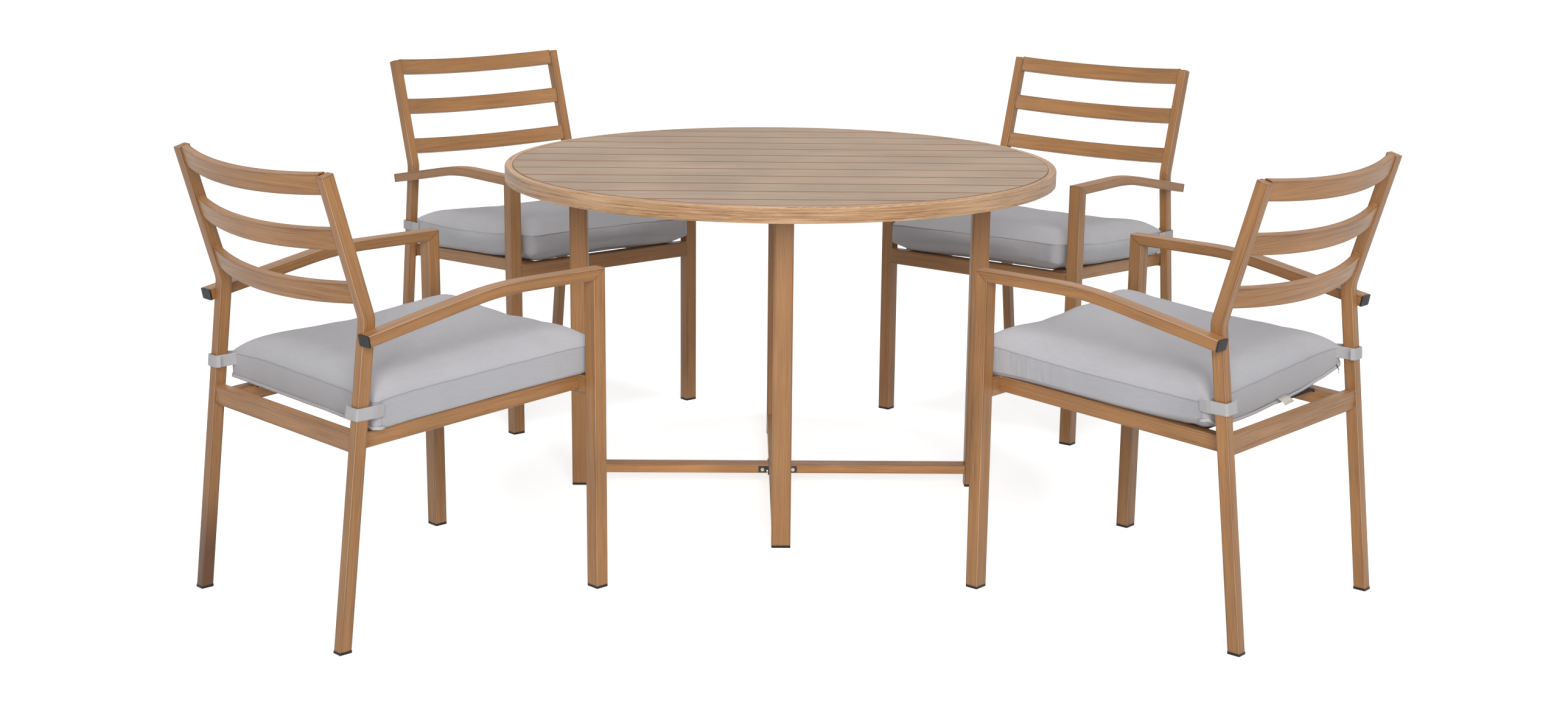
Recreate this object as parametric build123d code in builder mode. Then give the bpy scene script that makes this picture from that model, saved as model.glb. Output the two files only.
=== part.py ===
from build123d import *
import math
import os

# Patio dining set: a round slatted table and four armchairs with tied seat cushions.
# Millimetres, +Z up, floor at z = 0.  The origin is the middle of the set's box, on the floor.
# A chair is drawn once, facing +Y, with its own origin on the floor under its seat,
# and is then placed at four spots around the table.

# ---- frame of the whole set -------------------------------------------------
table_centre = (-8.51, -58.57)      # table axis, from the middle of the set's box
weld_gap = 0.2                      # curved tube ends stop this far from the rim

# ---- table ------------------------------------------------------------------
table_diameter = 1220.0
table_height = 745.0
rim_width = 18.0                    # radial width of the rolled rim channel
rim_height = 33.0
rim_wall = 1.5
rim_corner = 4.0                    # outside corner radius of the rim
slat_pitch = 103.5
slat_groove = 3.5                   # open groove between two slats
slat_thickness = 12.0
slat_wall = 1.2
slat_edge = 1.5                     # rounding along a slat's top edges
slat_end_gap = 0.8                  # slat ends stop this far from the rim
rail_width = 40.0                   # tube under the top and tube of the low stretcher
rail_height = 20.0
batten_width = 25.0
batten_height = 15.0
batten_offset = 300.0               # batten centre from the table axis
leg_size = 40.0
leg_inset = 160.0                   # leg centre inside the rim's outer edge
stretcher_top = 50.0                # top face of the low cross
tube_wall = 1.5
tube_corner = 2.5                   # outside corner radius of every tube
foot_height = 5.0                   # black foot under every leg
plug_depth = 15.0                   # plug of a foot or an end cap inside its tube
plug_clearance = 0.3
bracket_length = 24.0
bracket_wall = 2.5
bracket_height = 14.0
bolt_head = 8.0                     # across the round head
bolt_head_height = 3.0
bolt_place = 0.62                   # bolt along its bracket, as a share of the bracket's length
top_screw_spacing = 120.0           # screws that hold the slats to the long top rail

# ---- chair ------------------------------------------------------------------
chair_width = 576.0                 # over both arms
arm_width = 32.0                    # arm and front leg, across the chair
front_leg_depth = 28.0
arm_thickness = 22.0
arm_height = 643.0                  # top of the arm at the front
chair_front = 300.0                 # front faces of the front legs
arm_bend_y = 54.0                   # corner of the arm's centre line, rounded by the radius
arm_bend_radius = 700.0
arm_drop = 10.8                     # slope of the arm's rear part, degrees
arm_rear_y = -234.0                 # rear end of the arm tube
end_cap_thickness = 3.0
rear_leg_width = 22.0
rear_leg_depth = 25.0
rear_foot_y = -300.0                # rear face of the rear leg at the floor
rear_bend_y = -224.3                # rear face where the leg bends back
rear_bend_z = 608.0
rear_bend_radius = 60.0
back_top_y = -299.3                 # rear face at the top of the upright
back_top_z = 872.0
back_slat_height = 38.0
back_slat_thickness = 15.0
back_slat_wall = 1.5
back_slat_spacing = 104.0           # from one slat's top edge to the next, along the upright
back_slat_count = 3
back_slat_bow = 38.0                # how far the middle of a slat lies behind its ends
front_rail_top = 426.0
front_rail_height = 38.0
front_rail_depth = 25.0
front_rail_setback = 1.0            # front rail behind the front faces of the legs
rear_rail_y = -248.0                # rear face of the rear rail
rear_rail_top = 403.0
rear_rail_height = 37.0
rear_rail_depth = 22.0
side_rail_width = 28.0
side_rail_height = 30.0
side_rail_front_top = 426.0         # side rail's top where it meets the front rail
side_rail_rear_top = 397.0          # side rail's top where it meets the rear rail
side_rail_inset = 25.0              # side rail's outer face inside the front leg's inner face
band_width = 46.0
band_pitch = 96.0
band_count = 5
band_thickness = 2.0
band_middle_y = 38.0                # middle of the band pattern
band_flap = 6.0                     # band folded down the side rail's inner face
cushion_width = 506.0
cushion_front = 333.0
cushion_rear = -208.0
cushion_belly = 10.0                # rise of the underside from its resting part to the lower seam
cushion_belly_inset = 70.0
cushion_boxing = 46.0               # height of the side boxing
cushion_crown = 40.0                # rise of the crowned top above the boxing
cushion_crown_inset = 65.0
cushion_front_corner = 25.0
cushion_rear_corner = 32.0
rest_gap = 0.3                      # soft solids lie this far off what carries them
tie_width = 24.0
tie_thickness = 2.0
tie_clearance = 0.4

# Where the chairs stand: distance from the table axis to the chair's origin,
# the direction to it and the direction that it faces, in degrees from +X.
chair_spots = {
    "front_left": (1039.0, 222.8, 43.0),
    "front_right": (1045.3, 318.2, 137.4),
    "rear_left": (1026.1, 126.9, 309.7),
    "rear_right": (1014.7, 47.4, 231.5),
}
# How far each cushion lies rolled towards its chair's left (or right, if negative), in degrees.
cushion_rolls = {"front_left": -0.7, "front_right": 3.7, "rear_left": 0.0, "rear_right": 0.0}
# Heights of the left and the right tie strap's middle above the floor.
tie_heights = {
    "front_left": (450.0, 440.0),
    "front_right": (456.0, 475.0),
    "rear_left": (450.0, 450.0),
    "rear_right": (450.0, 450.0),
}

# ---- worked out from the sizes above ------------------------------------------
rim_inner_radius = table_diameter / 2 - rim_width
slat_bottom = table_height - slat_thickness
top_rail_bottom = slat_bottom - rail_height
rim_bottom = table_height - rim_height
leg_reach = table_diameter / 2 - leg_inset
leg_inner = leg_reach - leg_size / 2
arm_outer_x = chair_width / 2
arm_inner_x = arm_outer_x - arm_width
arm_middle_x = arm_outer_x - arm_width / 2
rear_leg_middle_x = arm_inner_x - rear_leg_width / 2
rear_leg_inner_x = arm_inner_x - rear_leg_width
upright_length = math.hypot(back_top_y - rear_bend_y, back_top_z - rear_bend_z)
upright_lean = math.degrees(math.atan2(rear_bend_y - back_top_y, back_top_z - rear_bend_z))
leg_rake = math.degrees(math.atan2(rear_bend_y - rear_foot_y, rear_bend_z))
front_rail_front = chair_front - front_rail_setback
front_rail_back = front_rail_front - front_rail_depth
rear_rail_front = rear_rail_y + rear_rail_depth
side_rail_outer_x = arm_inner_x - side_rail_inset
side_rail_middle_x = side_rail_outer_x - side_rail_width / 2
side_rail_inner_x = side_rail_outer_x - side_rail_width
seat_slope = math.degrees(
    math.atan2(side_rail_front_top - side_rail_rear_top, front_rail_back - rear_rail_front)
)


def seat_top(y):
    """Height of the side rails' top at y."""
    return side_rail_rear_top + (y - rear_rail_front) * math.tan(math.radians(seat_slope))


def rear_leg_back(z):
    """Rear face of the straight lower part of the rear leg at height z."""
    return rear_foot_y + (rear_bend_y - rear_foot_y) * z / rear_bend_z


def seat_plane(y, lift):
    """Plane along the sloping seat, with its x axis across the chair."""
    slope = math.radians(seat_slope)
    origin = (0, y - lift * math.sin(slope), seat_top(y) + lift * math.cos(slope))
    return Plane(origin=origin, x_dir=(1, 0, 0), z_dir=(0, -math.sin(slope), math.cos(slope)))


def tie_front(height):
    """Front end of a cushion tie at that height, just behind the cushion's rounded rear corner."""
    slope = math.radians(seat_slope)
    x = rear_leg_inner_x - tie_clearance - tie_thickness
    across = max(x - (cushion_width / 2 - cushion_rear_corner), 0)
    corner_y = cushion_rear + cushion_rear_corner - math.sqrt(cushion_rear_corner**2 - across**2)
    above_seat = height + tie_width / 2 - seat_top(cushion_rear)
    lean_in = above_seat * math.sin(slope) + tie_width / 2 * math.sin(math.radians(leg_rake))
    return corner_y * math.cos(slope) - lean_in - rest_gap


def group(*pieces):
    """Several separate solids as one node."""
    return Compound([solid for piece in pieces for solid in piece.solids()])


def save(part, name):
    """Label one finished node and write its STEP file."""
    part.label = name
    export_step(part, f"parts/{name}.step")


def tube_section(width, depth, wall):
    """Closed rectangular tube section with rounded corners, in the current sketch."""
    RectangleRounded(width, depth, tube_corner)
    Rectangle(width - 2 * wall, depth - 2 * wall, mode=Mode.SUBTRACT)


# ---- table pieces -----------------------------------------------------------
def make_rim():
    """Rolled rim: a channel open at its underside."""
    with BuildPart() as rim:
        with BuildSketch(Plane.XZ):
            with Locations((table_diameter / 2 - rim_width / 2, table_height - rim_height / 2)):
                Rectangle(rim_width, rim_height)
            top_corners = vertices().group_by(Axis.Y)[-1]
            fillet(top_corners, rim_corner)
            with Locations((table_diameter / 2 - rim_width / 2, rim_bottom + (rim_height - rim_wall) / 2)):
                Rectangle(rim_width - 2 * rim_wall, rim_height - rim_wall, mode=Mode.SUBTRACT)
        revolve(axis=Axis.Z)
    return rim.part


def make_slats():
    """Folded slats across the top, each trimmed to the round opening of the rim."""
    radius = rim_inner_radius - slat_end_gap
    grooves = 2 * int(radius / slat_pitch) + 1
    with BuildPart() as slats:
        for index in range(grooves + 1):
            low = (index - (grooves + 1) / 2) * slat_pitch + slat_groove / 2
            high = low + slat_pitch - slat_groove
            low, high = max(low, -radius), min(high, radius)
            with BuildSketch(Plane.YZ.offset(-radius)):
                with Locations(((low + high) / 2, table_height - slat_thickness / 2)):
                    Rectangle(high - low, slat_thickness)
                fillet(vertices().group_by(Axis.Y)[-1], slat_edge)
                with Locations(((low + high) / 2, slat_bottom + (slat_thickness - slat_wall) / 2)):
                    Rectangle(high - low - 2 * slat_wall, slat_thickness - slat_wall, mode=Mode.SUBTRACT)
            extrude(amount=2 * radius)
        with BuildSketch(Plane.XY.offset(slat_bottom)):
            Circle(radius)
        extrude(amount=slat_thickness, mode=Mode.INTERSECT)
    return slats.part


def tube_along_y(x, low, start, end):
    """Cross tube from start to end along Y."""
    with BuildPart() as tube:
        with BuildSketch(Plane.XZ.offset(-start)):
            with Locations((x, low + rail_height / 2)):
                tube_section(rail_width, rail_height, tube_wall)
        extrude(amount=-(end - start))
    return tube.part


def tube_along_x(y, low, start, end):
    """Cross tube from start to end along X."""
    with BuildPart() as tube:
        with BuildSketch(Plane.YZ.offset(start)):
            with Locations((y, low + rail_height / 2)):
                tube_section(rail_width, rail_height, tube_wall)
        extrude(amount=end - start)
    return tube.part


def cross_tubes(low, end):
    """A long tube along Y and two halves along X that butt against its sides."""
    side = rail_width / 2
    left = tube_along_x(0, low, -end, -side)
    right = tube_along_x(0, low, side, end)
    return tube_along_y(0, low, -end, end), left, right


def make_stretcher():
    """Low cross between the four legs."""
    return group(*cross_tubes(stretcher_top - rail_height, leg_inner))


def make_top_rails():
    """Cross of tubes under the slats, trimmed to the inside of the rim."""
    trimmed = []
    for tube in cross_tubes(top_rail_bottom, rim_inner_radius):
        with BuildPart() as rail:
            add(tube)
            with BuildSketch(Plane.XY.offset(top_rail_bottom)):
                Circle(rim_inner_radius - weld_gap)
            extrude(amount=rail_height, mode=Mode.INTERSECT)
        trimmed.append(rail.part)
    return group(*trimmed)


def make_battens():
    """Four short battens that carry the outer parts of the slats."""
    chord = math.sqrt(rim_inner_radius**2 - (batten_offset + batten_width / 2) ** 2)
    start = rail_width / 2
    with BuildPart() as battens:
        for side_x in (-1, 1):
            for side_y in (-1, 1):
                with BuildSketch(Plane.XZ.offset(-side_y * start)):
                    with Locations((side_x * batten_offset, slat_bottom - batten_height / 2)):
                        tube_section(batten_width, batten_height, tube_wall)
                extrude(amount=-side_y * (chord - weld_gap - start))
    return battens.part


def make_table_leg(angle):
    """Square tube leg from its foot to the top rail."""
    with BuildPart() as leg:
        with BuildSketch(Plane.XY.offset(foot_height)):
            with PolarLocations(leg_reach, 1, start_angle=angle):
                tube_section(leg_size, leg_size, tube_wall)
        extrude(amount=top_rail_bottom - foot_height)
    return leg.part


def make_table_feet():
    """Black feet: a flange under the leg and a plug inside it."""
    plug = leg_size - 2 * tube_wall - 2 * plug_clearance
    with BuildPart() as feet:
        with BuildSketch():
            with PolarLocations(leg_reach, 4):
                RectangleRounded(leg_size, leg_size, tube_corner)
        extrude(amount=foot_height)
        with BuildSketch(Plane.XY.offset(foot_height)):
            with PolarLocations(leg_reach, 4):
                Rectangle(plug, plug)
        extrude(amount=plug_depth)
    return feet.part


def make_brackets():
    """Angle brackets in the inner corners of the low cross and of the top cross."""
    corner = rail_width / 2
    middle = corner + bracket_length / 2
    with BuildPart() as brackets:
        for low in (stretcher_top - rail_height, top_rail_bottom):
            with BuildSketch(Plane.XY.offset(low + (rail_height - bracket_height) / 2)):
                for side_x in (-1, 1):
                    for side_y in (-1, 1):
                        with Locations((side_x * middle, side_y * (corner + bracket_wall / 2))):
                            Rectangle(bracket_length, bracket_wall)
                        with Locations((side_x * (corner + bracket_wall / 2), side_y * middle)):
                            Rectangle(bracket_wall, bracket_length)
            extrude(amount=bracket_height)
    return brackets.part


def make_table_bolts():
    """Bolts of the corner brackets, and the screws that pull the slats onto the long rail."""
    inside = rail_width / 2 + bracket_wall
    out = rail_width / 2 + bracket_length * bolt_place
    with BuildPart() as bolts:
        for low in (stretcher_top - rail_height, top_rail_bottom):
            for side_x in (-1, 1):
                for side_y in (-1, 1):
                    spots = (
                        Plane((side_x * out, side_y * inside, low + rail_height / 2), z_dir=(0, side_y, 0)),
                        Plane((side_x * inside, side_y * out, low + rail_height / 2), z_dir=(side_x, 0, 0)),
                    )
                    for spot in spots:
                        with BuildSketch(spot):
                            Circle(bolt_head / 2)
                        extrude(amount=bolt_head_height)
        screws = 2 * int((leg_inner - rail_width) / top_screw_spacing)
        with BuildSketch(Plane.XY.offset(top_rail_bottom - bolt_head_height)):
            with GridLocations(1, top_screw_spacing, 1, screws):
                Circle(bolt_head / 2)
        extrude(amount=bolt_head_height)
    return bolts.part


# ---- chair pieces -----------------------------------------------------------
def mitre_plane():
    """Plane through the outer and inner corner where the arm meets the front leg."""
    normal = (0, -arm_thickness, front_leg_depth)
    return Plane(origin=(0, chair_front, arm_height), x_dir=(1, 0, 0), z_dir=normal)


def make_front_leg(side):
    """Front leg, mitred to the arm at its top."""
    with BuildPart() as leg:
        with BuildSketch(Plane.XY.offset(foot_height)):
            with Locations((side * arm_middle_x, chair_front - front_leg_depth / 2)):
                tube_section(arm_width, front_leg_depth, tube_wall)
        extrude(amount=arm_height - foot_height)
        split(bisect_by=mitre_plane(), keep=Keep.BOTTOM)
    return leg.part


def arm_path_points():
    """Centre line of the arm, front to rear, as (y, z)."""
    middle = arm_height - arm_thickness / 2
    fall = (arm_bend_y - arm_rear_y) * math.tan(math.radians(arm_drop))
    return (chair_front, middle), (arm_bend_y, middle), (arm_rear_y, middle - fall)


def make_arm(side):
    """Arm: level in front, then sloping down past the outside of the rear upright."""
    with BuildPart() as arm:
        with BuildLine(Plane.YZ.offset(side * arm_middle_x)) as path:
            FilletPolyline(*arm_path_points(), radius=arm_bend_radius)
        with BuildSketch(Plane(origin=path.line @ 0, x_dir=(1, 0, 0), z_dir=path.line % 0)):
            tube_section(arm_width, arm_thickness, tube_wall)
        sweep(path=path.line)
        split(bisect_by=mitre_plane(), keep=Keep.TOP)
    return arm.part


def rear_leg_path_points(top_short):
    """Centre line of the rear leg as (y, z), from below the floor to near its top."""
    half = rear_leg_depth / 2
    rake = math.radians(leg_rake)
    lean = math.radians(upright_lean)
    below = rear_leg_depth
    half_bend = (rake + lean) / 2
    reach = half / math.cos(half_bend)
    bend = (
        rear_bend_y + reach * math.cos(half_bend - rake),
        rear_bend_z + reach * math.sin(half_bend - rake),
    )
    foot = (bend[0] - (bend[1] + below) * math.tan(rake), -below)
    length = upright_length - top_short
    top = (bend[0] - length * math.sin(lean), bend[1] + length * math.cos(lean))
    return foot, bend, top


def make_rear_leg(side):
    """Rear leg and upright: one bent tube, closed at its top."""
    with BuildPart() as leg:
        with BuildLine(Plane.YZ.offset(side * rear_leg_middle_x)) as path:
            FilletPolyline(*rear_leg_path_points(0), radius=rear_bend_radius)
        with BuildSketch(Plane(origin=path.line @ 0, x_dir=(1, 0, 0), z_dir=path.line % 0)):
            RectangleRounded(rear_leg_width, rear_leg_depth, tube_corner)
        sweep(path=path.line)
        with BuildLine(Plane.YZ.offset(side * rear_leg_middle_x)) as bore:
            FilletPolyline(*rear_leg_path_points(tube_wall), radius=rear_bend_radius)
        with BuildSketch(Plane(origin=bore.line @ 0, x_dir=(1, 0, 0), z_dir=bore.line % 0)):
            Rectangle(rear_leg_width - 2 * tube_wall, rear_leg_depth - 2 * tube_wall)
        sweep(path=bore.line, mode=Mode.SUBTRACT)
        split(bisect_by=Plane.XY.offset(foot_height), keep=Keep.TOP)
    return leg.part


def bowed_strip(half, rear, front, mode=Mode.ADD):
    """Strip between two arcs that bow towards the rear, in the current sketch."""
    with BuildLine() as outline:
        ThreePointArc((-half, rear), (0, rear - back_slat_bow), (half, rear))
        Line((half, rear), (half, front))
        ThreePointArc((half, front), (0, front - back_slat_bow), (-half, front))
        Line((-half, front), (-half, rear))
    make_face(outline.edges(), mode=mode)


def make_back_slats():
    """Bowed slats between the uprights, the top one level with their tops."""
    lean = math.radians(upright_lean)
    up = (0, -math.sin(lean), math.cos(lean))
    rear = (rear_leg_depth - back_slat_thickness) / 2
    front = rear + back_slat_thickness
    with BuildPart() as slats:
        for index in range(back_slat_count):
            down = index * back_slat_spacing + back_slat_height
            origin = (0, back_top_y + down * math.sin(lean), back_top_z - down * math.cos(lean))
            bottom = Plane(origin=origin, x_dir=(1, 0, 0), z_dir=up)
            with BuildSketch(bottom):
                bowed_strip(rear_leg_inner_x, rear, front)
            extrude(amount=back_slat_height)
            with BuildSketch(bottom.offset(back_slat_wall)):
                bowed_strip(rear_leg_inner_x, rear + back_slat_wall, front - back_slat_wall)
            extrude(amount=back_slat_height - 2 * back_slat_wall, mode=Mode.SUBTRACT)
    return slats.part


def make_side_rail(side):
    """Sloping side rail, cut upright where it meets the front and the rear rail."""
    slope = math.radians(seat_slope)
    depth = side_rail_height * math.cos(slope)
    along = Plane(
        origin=(side * side_rail_middle_x, 0, seat_top(0)),
        x_dir=(1, 0, 0),
        z_dir=(0, -math.cos(slope), -math.sin(slope)),
    )
    with BuildPart() as rail:
        with BuildSketch(along):
            with Locations((0, -depth / 2)):
                tube_section(side_rail_width, depth, tube_wall)
        extrude(amount=chair_front, both=True)
        split(bisect_by=Plane.XZ.offset(-front_rail_back), keep=Keep.TOP)
        split(bisect_by=Plane.XZ.offset(-rear_rail_front), keep=Keep.BOTTOM)
    return rail.part


def make_cross_rail(y, half_length, top, depth, height):
    """Rail across the chair, centred at y."""
    with BuildPart() as rail:
        with BuildSketch(Plane.YZ.offset(-half_length)):
            with Locations((y, top - height / 2)):
                tube_section(depth, height, tube_wall)
        extrude(amount=2 * half_length)
    return rail.part


def make_seat_frame():
    """Front and rear rail between the legs, and the two side rails between those."""
    front_middle = front_rail_back + front_rail_depth / 2
    rear_middle = rear_rail_y + rear_rail_depth / 2
    return group(
        make_cross_rail(front_middle, arm_inner_x, front_rail_top, front_rail_depth, front_rail_height),
        make_cross_rail(rear_middle, rear_leg_inner_x, rear_rail_top, rear_rail_depth, rear_rail_height),
        make_side_rail(-1),
        make_side_rail(1),
    )


def make_seat_bands():
    """Webbing bands level with the side rails' tops, each folded down the rails' inner faces."""
    slope = math.radians(seat_slope)
    span = 2 * side_rail_inner_x
    with BuildPart() as bands:
        for index in range(band_count):
            y = band_middle_y + (index - (band_count - 1) / 2) * band_pitch
            across = Plane(
                origin=(0, y, seat_top(y)), x_dir=(1, 0, 0), z_dir=(0, -math.cos(slope), -math.sin(slope))
            )
            with BuildSketch(across):
                with Locations((0, -band_thickness / 2)):
                    Rectangle(span, band_thickness)
                with Locations((0, -band_flap / 2)):
                    with GridLocations(span - band_thickness, 1, 2, 1):
                        Rectangle(band_thickness, band_flap)
            extrude(amount=band_width / 2, both=True)
    return bands.part


def cushion_outline(inset):
    """Cushion seen from above, drawn in on every side, in the current sketch."""
    length = cushion_front - cushion_rear
    with BuildSketch() as outline:
        with Locations((0, (cushion_front + cushion_rear) / 2)):
            Rectangle(cushion_width - 2 * inset, length - 2 * inset)
        fillet(vertices().group_by(Axis.Y)[-1], cushion_front_corner)
        fillet(vertices().group_by(Axis.Y)[0], cushion_rear_corner)
    return outline.sketch


def make_cushion(roll):
    """Seat cushion with a rounded underside, a boxed side and a crowned top, rolled to one side."""
    bottom = seat_plane(0, rest_gap)
    lower_seam = bottom.offset(cushion_belly)
    upper_seam = lower_seam.offset(cushion_boxing)
    with BuildPart() as cushion:
        with BuildSketch(bottom):
            add(cushion_outline(cushion_belly_inset))
        with BuildSketch(lower_seam):
            add(cushion_outline(0))
        loft()
        with BuildSketch(lower_seam):
            add(cushion_outline(0))
        extrude(amount=cushion_boxing)
        with BuildSketch(upper_seam):
            add(cushion_outline(0))
        with BuildSketch(upper_seam.offset(cushion_crown)):
            add(cushion_outline(cushion_crown_inset))
        loft()
    resting_x = -math.copysign(cushion_width / 2 - cushion_belly_inset, roll)
    along = bottom.y_dir
    pivot = Axis(bottom.origin + Vector(resting_x, 0, 0), along)
    slide = Location((cushion_boxing * math.sin(math.radians(roll)), 0, 0))
    return cushion.part.rotate(pivot, -roll).moved(slide)


def make_cushion_ties(heights):
    """Hook-and-loop straps round the rear legs, reaching forward to the cushion's corners."""
    rake = math.radians(leg_rake)
    inside_x = rear_leg_width + 2 * tie_clearance
    leg_back = -rear_leg_depth / 2 - tie_clearance
    with BuildPart() as ties:
        for side, height in zip((-1, 1), heights):
            leg_middle = rear_leg_back(height) + rear_leg_depth / (2 * math.cos(rake))
            loop_front = tie_front(height) - leg_middle - tie_thickness
            middle = Plane(
                origin=(side * rear_leg_middle_x, leg_middle, height),
                x_dir=(1, 0, 0),
                z_dir=(0, math.sin(rake), math.cos(rake)),
            )
            with BuildSketch(middle):
                with Locations((0, (leg_back + loop_front) / 2)):
                    Rectangle(inside_x + 2 * tie_thickness, loop_front - leg_back + 2 * tie_thickness)
                    Rectangle(inside_x, loop_front - leg_back, mode=Mode.SUBTRACT)
            extrude(amount=tie_width / 2, both=True)
    return ties.part


def make_chair_caps():
    """Black plastic ends: a foot under each leg and a plug in each arm's rear end."""
    points = arm_path_points()
    slope = math.radians(arm_drop)
    clear = 2 * (tube_wall + plug_clearance)
    with BuildPart() as caps:
        for side in (-1, 1):
            with BuildSketch():
                with Locations((side * arm_middle_x, chair_front - front_leg_depth / 2)):
                    RectangleRounded(arm_width, front_leg_depth, tube_corner)
            extrude(amount=foot_height)
            with BuildSketch(Plane.XY.offset(foot_height)):
                with Locations((side * arm_middle_x, chair_front - front_leg_depth / 2)):
                    Rectangle(arm_width - clear, front_leg_depth - clear)
            extrude(amount=plug_depth)
            add(rear_foot_slice(side, 0, foot_height, 0))
            add(rear_foot_slice(side, foot_height, foot_height + plug_depth, clear))
            end = Plane(
                origin=(side * arm_middle_x, *points[2]),
                x_dir=(1, 0, 0),
                z_dir=(0, -math.cos(slope), -math.sin(slope)),
            )
            with BuildSketch(end):
                RectangleRounded(arm_width, arm_thickness, tube_corner)
            extrude(amount=end_cap_thickness)
            with BuildSketch(end):
                Rectangle(arm_width - clear, arm_thickness - clear)
            extrude(amount=-plug_depth)
    return caps.part


def rear_foot_slice(side, low, high, smaller):
    """Level slice of the raked rear leg, drawn in by half of smaller on every side."""
    depth = (rear_leg_depth - smaller) / math.cos(math.radians(leg_rake))
    in_from_back = smaller / (2 * math.cos(math.radians(leg_rake)))
    outline = []
    for z in (low, high):
        outline.append((rear_leg_back(z) + in_from_back, z))
    for z in (high, low):
        outline.append((rear_leg_back(z) + in_from_back + depth, z))
    with BuildPart() as slab:
        with BuildSketch(Plane.YZ.offset(side * rear_leg_middle_x)):
            with BuildLine():
                Polyline(*outline, close=True)
            make_face()
        extrude(amount=(rear_leg_width - smaller) / 2, both=True)
    return slab.part


# ---- build and write every node ---------------------------------------------
os.makedirs("parts", exist_ok=True)

table_place = Location((table_centre[0], table_centre[1], 0))
table_pieces = {
    "table_rim": make_rim(),
    "table_slats": make_slats(),
    "table_top_rails": make_top_rails(),
    "table_battens": make_battens(),
    "table_leg_right": make_table_leg(0),
    "table_leg_back": make_table_leg(90),
    "table_leg_left": make_table_leg(180),
    "table_leg_front": make_table_leg(270),
    "table_stretcher": make_stretcher(),
    "table_brackets": make_brackets(),
    "table_bolts": make_table_bolts(),
    "table_feet": make_table_feet(),
}
for name, piece in table_pieces.items():
    save(piece.moved(table_place), name)

chair_pieces = {
    "front_leg_left": make_front_leg(-1),
    "front_leg_right": make_front_leg(1),
    "arm_left": make_arm(-1),
    "arm_right": make_arm(1),
    "rear_leg_left": make_rear_leg(-1),
    "rear_leg_right": make_rear_leg(1),
    "back_slats": make_back_slats(),
    "seat_frame": make_seat_frame(),
    "seat_bands": make_seat_bands(),
    "end_caps": make_chair_caps(),
}
for spot, (distance, direction, facing) in chair_spots.items():
    toward = math.radians(direction)
    x = table_centre[0] + distance * math.cos(toward)
    y = table_centre[1] + distance * math.sin(toward)
    place = Location((x, y, 0), (0, 0, facing - 90))
    soft_pieces = {
        "cushion": make_cushion(cushion_rolls[spot]),
        "cushion_ties": make_cushion_ties(tie_heights[spot]),
    }
    for name, piece in (chair_pieces | soft_pieces).items():
        save(piece.moved(place), f"chair_{spot}_{name}")
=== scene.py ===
import math
import bmesh
import bpy
from mathutils import Matrix, Vector, noise
from mathutils.kdtree import KDTree


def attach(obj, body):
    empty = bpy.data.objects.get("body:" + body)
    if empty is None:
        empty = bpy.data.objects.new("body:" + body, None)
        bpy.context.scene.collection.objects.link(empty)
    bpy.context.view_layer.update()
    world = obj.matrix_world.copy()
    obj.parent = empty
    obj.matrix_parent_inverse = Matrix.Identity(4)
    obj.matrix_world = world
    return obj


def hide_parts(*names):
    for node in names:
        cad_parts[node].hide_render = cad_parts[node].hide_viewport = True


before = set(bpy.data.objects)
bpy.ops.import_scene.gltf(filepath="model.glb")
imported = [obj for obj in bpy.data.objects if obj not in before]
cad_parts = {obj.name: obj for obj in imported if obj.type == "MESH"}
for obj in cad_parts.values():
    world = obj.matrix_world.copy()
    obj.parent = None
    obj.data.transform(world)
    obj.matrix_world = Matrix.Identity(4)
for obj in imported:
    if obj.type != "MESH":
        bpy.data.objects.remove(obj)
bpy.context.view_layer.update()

# Patio dining set: looks for the table, the four armchairs and their cushions.  Metres, +Z up.
# Chair pieces are drawn in the chair's own frame (it faces +Y, +X is its right) and then placed.

# ---- places and sizes that the solids also have -------------------------------------------------
TABLE_X = -0.00851                  # the table's axis
TABLE_Y = -0.05857
RIM_RADIUS = 0.610
CROSS_TUBE = 0.040                  # width of the tubes of the table's two crosses
SLAT_PITCH = 0.1035
SLAT_GROOVE = 0.0035
# Each chair: its distance from the table's axis, then the direction to it and the way that it
# faces, in degrees.
CHAIRS = {
    "front_left": (1.0390, 222.8, 43.0),
    "front_right": (1.0453, 318.2, 137.4),
    "rear_left": (1.0261, 126.9, 309.7),
    "rear_right": (1.0147, 47.4, 231.5),
}
REAR_LEG_X = 0.245                  # middle of the right rear leg
REAR_LEG_WIDTH = 0.022
REAR_LEG_DEPTH = 0.025
REAR_FOOT_Y = -0.300
REAR_BEND_Y = -0.2243
REAR_BEND_Z = 0.608
BACK_LEAN = 0.284                   # how far the back goes backwards for each metre up
ARM_BEND_Y = 0.054
ARM_FALL = 0.191                    # how far the arm falls for each metre backwards
FRONT_RAIL_BACK = 0.274
REAR_RAIL_FRONT = -0.226
SEAT_REAR = 0.397
SEAT_FRONT = 0.426
SEAT_SLOPE = (SEAT_FRONT - SEAT_REAR) / (FRONT_RAIL_BACK - REAR_RAIL_FRONT)
BACK_HALF = 0.234                   # half the length of a back slat
BACK_BOW = 0.038                    # how far a back slat is bowed at its middle

# ---- cushions -----------------------------------------------------------------------------------
CUSHION_HALF = 0.252
CUSHION_FRONT = 0.331
CUSHION_REAR = -0.2075
MIDDLE_Y = (CUSHION_FRONT + CUSHION_REAR) / 2
HALF_LENGTH = (CUSHION_FRONT - CUSHION_REAR) / 2
FRONT_CORNER = 0.026
REAR_CORNER = 0.012
REST = 0.0004                       # gap between the cushion and the seat under it
RESTING = 0.183                     # outer edge of the part of the underside that rests
BELLY = 0.010                       # bottom seam above the resting part of the underside
BOXING = 0.046                      # bottom seam to top seam
CROWN = 0.020                       # crown before the cushion is blown up
WAVE = 0.0016                       # unevenness of the crown
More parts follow.
